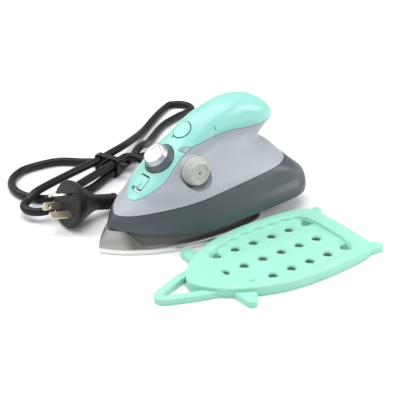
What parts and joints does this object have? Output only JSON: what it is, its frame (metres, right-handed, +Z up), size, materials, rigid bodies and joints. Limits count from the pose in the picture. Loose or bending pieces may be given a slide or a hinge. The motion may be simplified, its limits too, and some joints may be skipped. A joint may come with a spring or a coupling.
{
  "type": "mini steam craft iron",
  "caption": "Small steam iron for quilting and craft work with a dial, a steam button, a selector knob, a bundled mains cord with plug, and a separate silicone rest.",
  "frame": {"origin": "middle of the soleplate's flat underside, half way along its length", "axes": "+Z up through the handle, -Y towards the nose of the iron, +X towards the side that carries the steam selector and the silicone rest"},
  "size_m": [0.342, 0.2538, 0.099],
  "materials": {
    "mint_plastic": "satin moulded ABS",
    "grey_plastic": "fine matt moulded ABS",
    "dark_plastic": "satin heat-proof plastic",
    "white_plastic": "satin moulded plastic",
    "milky_plastic": "translucent moulded plastic",
    "lamp_lens": "smoked translucent lens",
    "cast_aluminium": "die cast, sole face polished",
    "bright_trim": "plated ring",
    "steel": "plain sheet and wire",
    "brass": "rolled strip",
    "black_rubber": "matt black cord sheath and mouldings",
    "black_plastic": "matt strap",
    "mint_silicone": "matt silicone"
  },
  "bodies": {
    "base": {"base_frame": "steel", "body_shell": "grey_plastic", "chamber_cover": "steel", "cord_bushing": "black_rubber", "cord_clamp": "black_plastic", "cord_coil": "black_rubber", "cord_hank": "black_rubber", "cord_lead": "black_rubber", "cord_run": "black_rubber", "cord_tail": "black_rubber", "cord_tie": "black_plastic", "drip_pipe": "steel", "drip_valve": "white_plastic", "element_lead_left": "black_rubber", "element_lead_right": "black_rubber", "filler_hose": "black_rubber", "filler_neck": "white_plastic", "flap_pin": "steel", "frame_screw_1": "steel", "frame_screw_2": "steel", "frame_screw_3": "steel", "heating_element": "steel", "heel_cover": "dark_plastic", "pilot_lens": "lamp_lens", "plug_blade_earth": "brass", "plug_blade_left": "brass", "plug_blade_right": "brass", "plug_body": "black_rubber", "skirt": "dark_plastic", "soleplate": "cast_aluminium", "steam_hose": "black_rubber", "steam_pump": "white_plastic", "supply_lead": "black_rubber", "terminal_block": "white_plastic", "thermal_fuse": "white_plastic", "thermostat": "white_plastic", "thermostat_bracket": "brass", "top_cover": "mint_plastic", "water_tank": "milky_plastic"},
    "dial": {"dial_collar": "dark_plastic", "dial_ring": "bright_trim", "dial_cap": "white_plastic", "dial_spindle": "steel"},
    "button": {"steam_button": "mint_plastic", "button_spring": "steel"},
    "selector": {"selector_knob": "milky_plastic", "selector_shaft": "steel"},
    "flap": {"filler_flap": "mint_plastic"},
    "rest": {"silicone_rest": "mint_silicone"}
  },
  "joints": [
    {"name": "dial_turn", "type": "hinge", "parent": "base", "child": "dial", "pos_m": [0, -0.01448, 0.06346], "axis": [0, -0.6412, 0.7674], "range_deg": [0, 270]},
    {"name": "button_press", "type": "slide", "parent": "base", "child": "button", "axis": [0, 0.6112, -0.7914], "range_m": [0, 0.002], "stiffness_N_per_m": 800, "springref_m": -0.001},
    {"name": "selector_turn", "type": "hinge", "parent": "base", "child": "selector", "pos_m": [0.022, 0.00252, 0.05653], "axis": [1, 0, 0], "range_deg": [0, 90]},
    {"name": "flap_lift", "type": "hinge", "parent": "base", "child": "flap", "pos_m": [0, -0.02743, 0.05022], "axis": [-1, 0, 0], "range_deg": [0, 85]},
    {"name": "rest_lift", "type": "slide", "parent": "base", "child": "rest", "axis": [0, 0, 1], "range_m": [0, 0.05]}
  ]
}
